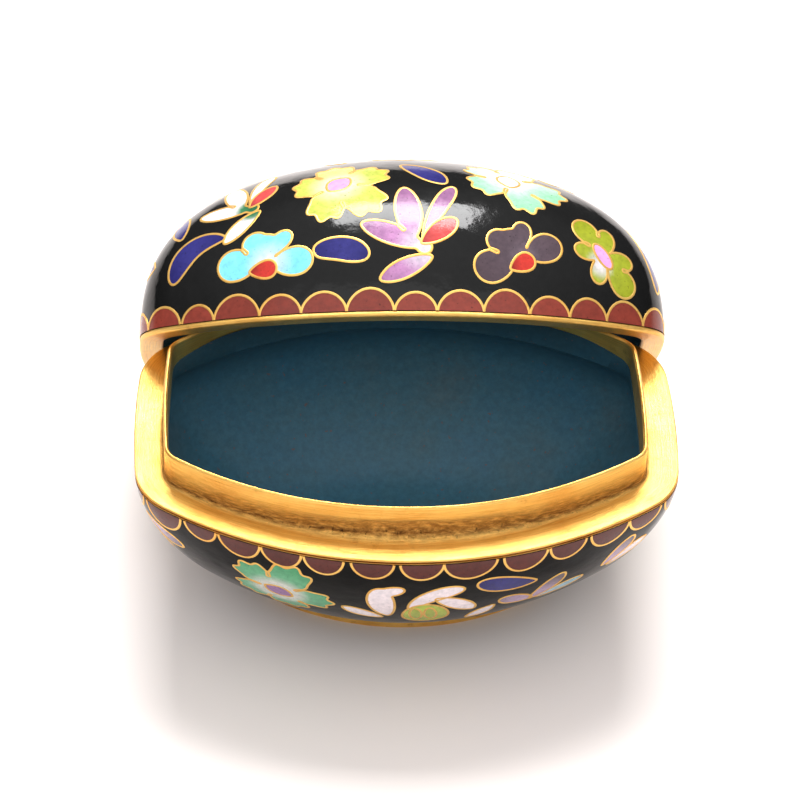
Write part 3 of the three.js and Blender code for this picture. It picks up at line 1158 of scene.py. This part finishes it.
def flower(canvas, place, size, rows, knot, heart, shades, pinch, top_shades, top_heart=(0, 0)):
    """Petals fused round a small knot, and the cell on top of them, which is the last row."""
    *petals, top = scaled_petals(rows, size)
    x, y, radius = (value * size for value in knot)
    petals.append(disc((x, y), radius))
    scaled = [(distance * size, colour) for distance, colour in shades]
    cell(canvas, place, petals, scaled, [c * size for c in heart], 0, pinch, top)
    scaled = [(distance * size, colour) for distance, colour in top_shades]
    cell(canvas, place, [top], scaled, [c * size for c in top_heart], 1)


def dimmed(colour, share):
    return tuple(c * share for c in colour)


def lily(canvas, along, up, turn, size, shades, bud):
    """Four long petals and a bud that spring from one side of a small heart."""
    rows = (
        (-1.0, 0.2, 95, 11.8, 4.4, 0, 0.50, 0.60, 0.8),
        (0.6, 0.4, 64, 13.3, 2.8, 8, 0.72, 0.50, 0.9),
        (0.8, -0.8, 155, 11.3, 3.9, 0, 0.55, 0.62, 0.7),
        (2.3, -2.5, 205, 9.8, 3.3, 0, 0.55, 0.70, 0.75),
        (0.3, -0.3, 40, 8.0, 3.5, -8, 0.6, 0.6, 0.85),
    )
    bud_shades = ((0, dimmed(bud, 0.45)), (3.5, bud), (9, bud))
    flower(canvas, (along, up, turn), size, rows, (0.9, -0.9, 1.3), (0.9, -0.9), shades, 0.9, bud_shades)


def trefoil(canvas, along, up, turn, size, shades, bud):
    """A blossom of three lobes, the middle one notched, with a round bud below."""
    rows = (
        (-0.8, -0.6, 178, 7.2, 5.8, 0, 0.60, 0.5, 0.62),
        (-0.3, 0.2, 113, 5.5, 4.6, 0, 0.60, 0.5, 0.6),
        (0.2, 0.2, 84, 4.7, 4.6, 0, 0.60, 0.5, 0.6),
        (0.4, 0.4, 50, 6.2, 3.3, 0, 0.65, 0.5, 0.6),
        (1.8, -0.9, 7, 7.0, 5.2, 0, 0.58, 0.5, 0.6),
        (-2.3, -2.0, 6, 5.0, 3.3, 0, 0.68, 0.5, 0.95),
    )
    bud_shades = ((0, dimmed(bud, 0.35)), (2.2, bud), (6, bud))
    place = (along, up, turn)
    flower(canvas, place, size, rows, (0.4, -0.2, 1.9), (1.2, -0.6), shades, 1.0, bud_shades, (-2, -1.5))


def blossom(canvas, along, up, turn, size, shades, centre):
    """Five ruffled petals round a four-sided centre."""
    rows = []
    ruffle = 0.07
    sizes = ((258, 8.8, 6.6), (318, 9.8, 7.2), (35, 8.6, 7.0), (105, 7.6, 7.0), (178, 7.2, 7.0))
    for toward, reach, width in sizes:
        x, y = math.cos(math.radians(toward)), math.sin(math.radians(toward))
        rows.append((x, y, toward, reach, width * 1.06, 0, 0.64, 0.5, 0.62, ruffle))
    rows.append((-1.6, -2.2, 55, 5.6, 4.4, 0, 0.5, 0.85, 0.85))
    plain = ((0, centre), (6, centre))
    flower(canvas, (along, up, turn), size, rows, (0, 0, 2.2), (0, 0), shades, 1.2, plain)


def quatrefoil(canvas, along, up, turn, size, shades, centre):
    """Two round lobes and two notched ones round an oval centre."""
    rows = (
        (-0.4, 1.6, 118, 6.2, 4.9, 0, 0.62, 0.5, 0.8),
        (-0.4, 0.1, 168, 5.1, 3.2, 0, 0.60, 0.5, 0.6),
        (-0.5, -0.3, 253, 5.0, 3.2, 0, 0.60, 0.5, 0.6),
        (0.5, 0.5, 70, 5.5, 3.3, 0, 0.60, 0.5, 0.6),
        (0.8, 0.0, -9, 5.2, 3.4, 0, 0.60, 0.5, 0.6),
        (0.8, -1.5, -50, 6.5, 5.0, 0, 0.62, 0.5, 0.8),
        (-1.2, 2.4, -62, 5.2, 2.6, 0, 0.5, 0.5, 0.5),
    )
    plain = ((0, centre), (4, centre))
    flower(canvas, (along, up, turn), size, rows, (0, 0, 1.5), (-0.9, -1.6), shades, 0.6, plain)


def lotus(canvas, along, up, petal_shades, centre):
    """A white lotus: a hooked petal, a curled one, three plain ones, and a leafy centre."""
    place = (along, up, 0)
    middle = petal((2.7, 0.6), 88, 9.5, 7.6, 0, 0.55, 0.5, 0.5)
    petals = (
        [petal((-4.0, 7.4), 212, 8.0, 3.0, -12, 0.55, 0.7, 0.8)],
        [
            petal((-3.2, 6.2), 261, 11.6, 4.4, -14, 0.6, 0.5, 0.7),
            petal((-5.6, -3.6), -20, 5.0, 2.8, 20, 0.5, 0.5, 0.5),
        ],
        [petal((4.2, -1.6), 44, 9.0, 3.6, -30, 0.55, 0.6, 0.7)],
        [petal((0.0, 2.6), -38, 11.4, 3.7, -62, 0.65, 0.5, 0.8)],
        [petal((9.8, 11.2), -57, 8.0, 2.8, 0, 0.5, 0.9, 0.8)],
    )
    for outlines in petals:
        cell(canvas, place, outlines, petal_shades, (2.5, 6), 0, 0, middle)
    pale = tuple(min(1.0, c * 1.5) for c in centre)
    cell(canvas, place, [middle], [(0, pale), (4, centre), (9, pale)], (2.7, 4), 1)
    for offset in (1.0, 3.4):
        fold = petal((offset, 2.0), 85, 6.4, 2.0, 0, 0.5, 0.6, 0.6)
        cell(canvas, place, [fold], [(0, centre), (9, centre)], (2.7, 4), 2)


# %% [markdown]
# ## The scalloped border
#
# A row of half-round maroon cells stands on each rim. The joints on the front are where the real wires
# meet, as they were bent by hand, and the rest follow at an even pitch. Between some scallops, most
# of all on the base, a little black shows, because their wires don't touch.

# %% Scallops
LID_JOINTS = (-47.0, -39.4, -33.0, -24.8, -17.6, -10.0, -2.2, 5.0, 12.7, 20.5, 27.9, 35.0, 42.6)
BASE_JOINTS = (-38.9, -31.9, -24.7, -17.5, -9.8, -1.7, 5.3, 14.0, 22.6, 30.2, 37.4)
LID_MAROON = tone(132, 54, 42)
# The base's scallops are the lid's maroon glass, darkened as painted shade because they face down.
BASE_MAROON_IN_SHADE = tone(88, 34, 26)
USUAL_HALF = 3.6
SCALLOP_COLUMNS = 17
SCALLOP_ROWS = 6


def scallop_glass(canvas, middle, half, u, top, colour):
    """One half-round cell, as a grid whose rows reach from the rim up to the wire."""
    share = np.linspace(0, 1, SCALLOP_ROWS)
    places, normals = canvas.spots(middle + half * u[:, None] + 0 * share, top[:, None] * share)
    quads = []
    for i in range(SCALLOP_COLUMNS - 1):
        for first in range(i * SCALLOP_ROWS, (i + 1) * SCALLOP_ROWS - 1):
            quads.append((first, first + SCALLOP_ROWS, first + SCALLOP_ROWS + 1, first + 1))
    tints = [(*colour, 1)] * (SCALLOP_COLUMNS * SCALLOP_ROWS)
    canvas.add_cell(places.reshape(-1, 3), normals.reshape(-1, 3), quads, tints)


def scallops(canvas, joints, height, gaps, seed, colour):
    chance = random.Random(seed)
    rest = RIM_LENGTH - (joints[-1] - joints[0])
    count = round(rest / ((joints[-1] - joints[0]) / (len(joints) - 1)))
    ends = list(joints) + [joints[-1] + rest * (i + 1) / count for i in range(count)]
    for left, right in zip(ends, ends[1:]):
        gap = chance.choice(gaps)
        middle = (left + right) / 2 + chance.uniform(-0.5, 0.5) * gap
        half = (right - left - gap) / 2
        tall = height * chance.uniform(0.93, 1.07) * min(1.1, half / USUAL_HALF)
        u = np.sin(np.linspace(-math.pi / 2, math.pi / 2, SCALLOP_COLUMNS))
        top = tall * np.maximum(1 - u ** 2, 0) ** 0.58
        scallop_glass(canvas, middle, half, u, top, dimmed(colour, chance.uniform(0.9, 1.1)))
        edge = resample(np.stack([middle + half * u, top], -1), STEP, False)
        canvas.add_wire(*canvas.spots(edge[:, 0], edge[:, 1]), False)
    print(canvas.name, "scallops:", len(ends) - 1)


scallops(lid_canvas, LID_JOINTS, 3.35, (0.0, 0.0, 0.3), 5, LID_MAROON)
scallops(base_canvas, BASE_JOINTS, 4.0, (0.0, 0.0, 0.5, 1.2), 9, BASE_MAROON_IN_SHADE)

# %% [markdown]
# ## Flowers and leaves
#
# The flowers that show in the photo stand where they do there. They are common Chinese garden motifs,
# drawn here from a few kinds, each turned and coloured afresh. The hidden sides repeat the same kinds.

# %% Enamel colours
def tones(*stops):
    """Shades of a flower, from stops of distance, red, green and blue."""
    return [(distance, tone(*colour)) for distance, *colour in stops]


NAVY = tone(30, 28, 96)
RED = tone(196, 52, 42)
ROSE = tone(206, 76, 74)
PINK = tone(222, 160, 212)
PALE_PINK = tone(245, 222, 236)
VIOLET = tone(150, 110, 160)
LEAFY = tone(165, 180, 60)
TURQUOISE = tones((0, 225, 225, 225), (2.5, 175, 215, 225), (4.5, 125, 218, 240), (9, 130, 222, 245))
PLUM = tones((0, 110, 95, 104), (3, 82, 68, 76), (9, 76, 61, 68))
LEMON = tones((0, 225, 205, 215), (2.6, 215, 212, 180), (6, 192, 202, 92), (10, 185, 196, 72))
MINT = tones((0, 232, 224, 228), (3, 205, 222, 208), (6, 158, 214, 176), (10, 140, 204, 160))
JADE = tones((0, 225, 220, 218), (3.6, 210, 215, 205), (6, 105, 178, 135), (10, 78, 158, 108))
LILAC = tones((0, 215, 215, 218), (2.4, 205, 190, 205), (5, 190, 135, 182), (11, 150, 102, 142))
SNOW = tones((0, 40, 95, 60), (2.6, 60, 120, 80), (3.8, 235, 228, 228), (14, 245, 236, 240))
OLIVE = tones((0, 225, 215, 225), (1.6, 195, 195, 180), (2.8, 155, 165, 45), (9, 140, 148, 26))
SMOKE = tones((0, 190, 160, 190), (4, 175, 150, 178), (8, 105, 92, 98), (13, 95, 84, 90))
PEARL = tones((0, 238, 214, 224), (6, 246, 234, 238), (12, 250, 240, 244))
BLUE = tones((0, 190, 205, 210), (9, 120, 180, 200))

# %% The lid's front
lily(lid_canvas, 2.1, 11.9, 0, 1.0, LILAC, ROSE)
lily(lid_canvas, -32.7, 21.1, 28, 0.88, SNOW, ROSE)
trefoil(lid_canvas, -24.9, 9.6, 0, 1.0, TURQUOISE, RED)
trefoil(lid_canvas, 19.0, 10.2, 22, 1.0, PLUM, RED)
blossom(lid_canvas, -14.9, 25.7, 0, 0.92, LEMON, PINK)
blossom(lid_canvas, 26.4, 28.0, 20, 0.92, MINT, PALE_PINK)
quatrefoil(lid_canvas, 36.1, 11.4, 0, 1.0, OLIVE, PINK)
leaf(lid_canvas, -33.3, 14.6, 219, 11.8, 4.4, -88, NAVY, 0.5, 0.62, 0.62)
leaf(lid_canvas, -15.9, 10.4, -7, 9.2, 4.4, 52, NAVY, 0.5, 0.36, 0.6)
leaf(lid_canvas, 9.3, 25.6, 128, 10.5, 4.4, -10, NAVY, 0.6, 0.7, 0.4)
leaf(lid_canvas, 47.6, 6.4, 84, 13.0, 4.8, -40, NAVY, 0.55, 0.7, 0.5)
leaf(lid_canvas, -48.0, 11.0, 172, 8.0, 3.4, 0, NAVY)
leaf(lid_canvas, -43.5, 15.5, 120, 8.0, 3.6, 0, NAVY)

# %% The base's front
blossom(base_canvas, -24.0, 13.2, -25, 0.93, JADE, VIOLET)
lotus(base_canvas, 0.0, 12.0, PEARL, LEAFY)
leaf(base_canvas, 22.4, 8.7, 193, 10.6, 4.6, -20, NAVY, 0.5, 0.8, 0.6)
for along, up, toward, reach, width, shades in (
    (24.3, 17.6, -64, 10.0, 3.4, SMOKE),
    (24.6, 17.0, 207, 7.0, 3.8, SMOKE),
    (25.6, 17.6, -28, 8.8, 3.4, BLUE),
    (37.0, 12.6, -63, 9.0, 3.2, SMOKE),
    (38.6, 13.4, -45, 8.6, 3.2, PEARL),
    (-48.2, 4.4, 39, 8.4, 3.6, SMOKE),
    (-52.5, 7.5, 48, 8.0, 3.2, PEARL),
):
    cell(base_canvas, (along, up, 0), [petal((0, 0), toward, reach, width, 0, 0.6, 0.6, 0.75)], shades)

# %% [markdown]
# ## The sides that the photo hides
#
# Flowers are tried at even steps along each row, and one is drawn wherever nothing stands yet. Then
# small leaves fill the gaps. The draws are seeded, so each run gives the same box.

# %% The hidden sides
ROW_STEP = 3.0
LEAF_OFFSET = 4
LEAF_ROOM = 4.6
CLEAR_OF_SCALLOPS = 9
KINDS = (
    (lily, 9.5, LILAC, ROSE),
    (trefoil, 7.8, TURQUOISE, RED),
    (blossom, 9.2, LEMON, PINK),
    (quatrefoil, 7.8, OLIVE, PINK),
    (lily, 9.5, SNOW, ROSE),
    (trefoil, 7.8, PLUM, RED),
    (blossom, 9.2, MINT, PALE_PINK),
)


def has_room(canvas, along, up, radius):
    spot = canvas.spots(along, up)[0]
    return all(np.linalg.norm(places - spot, axis=1).min() > radius for places in canvas.covered)


def fill(canvas, rows, size, seed):
    """Flowers first, then small leaves, wherever the hidden sides have room for them."""
    chance = random.Random(seed)
    flowers = leaves = 0
    spots = [(a, up) for up, front in rows for a in np.arange(front, RIM_LENGTH - front, ROW_STEP)]
    for along, up in spots:
        draw, radius, shades, centre = KINDS[(flowers * 2 + seed) % len(KINDS)]
        if has_room(canvas, along, up, radius * size + 1):
            draw(canvas, along, up, chance.uniform(0, 360), size, shades, centre)
            flowers += 1
    for along, up in spots:
        for height in (up - LEAF_OFFSET, up + LEAF_OFFSET):
            if height > CLEAR_OF_SCALLOPS and has_room(canvas, along, height, LEAF_ROOM):
                outline = petal((-3.7, 0), 0, 7.4, 3.5, 24, 0.5, 0.5, 0.8)
                place = (along, height, chance.uniform(0, 360))
                cell(canvas, place, [outline], [(0, NAVY), (8, NAVY)])
                leaves += 1
    print(canvas.name, "hidden flowers:", flowers, "leaves:", leaves)


fill(lid_canvas, ((13.5, 56), (30, 50), (44, 0)), 0.82, 1)
fill(base_canvas, ((14.0, 58),), 0.80, 4)


# %% Gather each half's glass and wires
def gather(canvas):
    verts, faces, tints = canvas.cells
    glass = make_piece(canvas.name + "_flowers", verts, faces, [COLOURED], canvas.place, sharp=60)
    layer = glass.data.attributes.new("enamel_colour", "FLOAT_COLOR", "POINT")
    layer.data.foreach_set("color", np.array(tints, float).ravel())
    verts, faces = canvas.wires
    wires = make_piece(canvas.name + "_wires", verts, faces, [GILT_WIRE], canvas.place, sharp=50)


gather(lid_canvas)
gather(base_canvas)

# %% [markdown]
# ## Floor and light
#
# The box in the photo stands on white paper under one strong light, high behind it, with a little soft
# light from the front. The light behind gives the bright flange, the sheen on the lid and the shadow
# that falls forward, and the one in front softens that shadow and lights the lining. A world that is
# bright above and dark at the sides keeps the black glass black.

# %% Floor and world
FLOOR_REACH = 3.0
floor_mesh = bpy.data.meshes.new("floor")
r = FLOOR_REACH
floor_mesh.from_pydata([(-r, -r, 0), (r, -r, 0), (r, r, 0), (-r, r, 0)], [], [(0, 1, 2, 3)])
floor = bpy.data.objects.new("floor", floor_mesh)
bpy.context.scene.collection.objects.link(floor)
paper, tree, shader = new_finish("white_paper")
shader.inputs["Base Color"].default_value = (0.93, 0.86, 0.83, 1)
shader.inputs["Roughness"].default_value = 0.6
floor_mesh.materials.append(paper)

world = bpy.data.worlds.new("studio")
bpy.context.scene.world = world
world.use_nodes = True
tree = world.node_tree
sky = add(tree, "ShaderNodeTexCoord")
height = add(tree, "ShaderNodeSeparateXYZ")
tree.links.new(sky.outputs["Generated"], height.inputs[0])
ceiling = ramp(tree, height.outputs["Z"], [(0.0, grey(0.12)), (0.35, grey(0.30)), (1.0, grey(1.25))])
tree.links.new(ceiling, tree.nodes["Background"].inputs["Color"])
tree.nodes["Background"].inputs["Strength"].default_value = 1.0


# %% Lights
def soft_light(name, azimuth, elevation, distance, width, height, radiance):
    """A soft light seen from the box at an azimuth, 0 behind and 90 to the right. Size in metres."""
    data = bpy.data.lights.new(name, "AREA")
    data.shape = "RECTANGLE"
    data.size = width
    data.size_y = height
    data.energy = radiance * math.pi * width * height
    light = bpy.data.objects.new(name, data)
    a, e = math.radians(azimuth), math.radians(elevation)
    place = Vector((math.sin(a) * math.cos(e), math.cos(a) * math.cos(e), math.sin(e))) * distance
    light.location = place
    light.rotation_euler = (-place).to_track_quat("-Z", "Y").to_euler()
    bpy.context.scene.collection.objects.link(light)


soft_light("window_behind", 4, 58, 1.0, 0.52, 0.36, 20.0)
soft_light("window_front", 180, 50, 1.3, 2.0, 1.2, 0.62)
bpy.context.scene.view_settings.view_transform = "Standard"
bpy.context.scene.view_settings.look = "None"
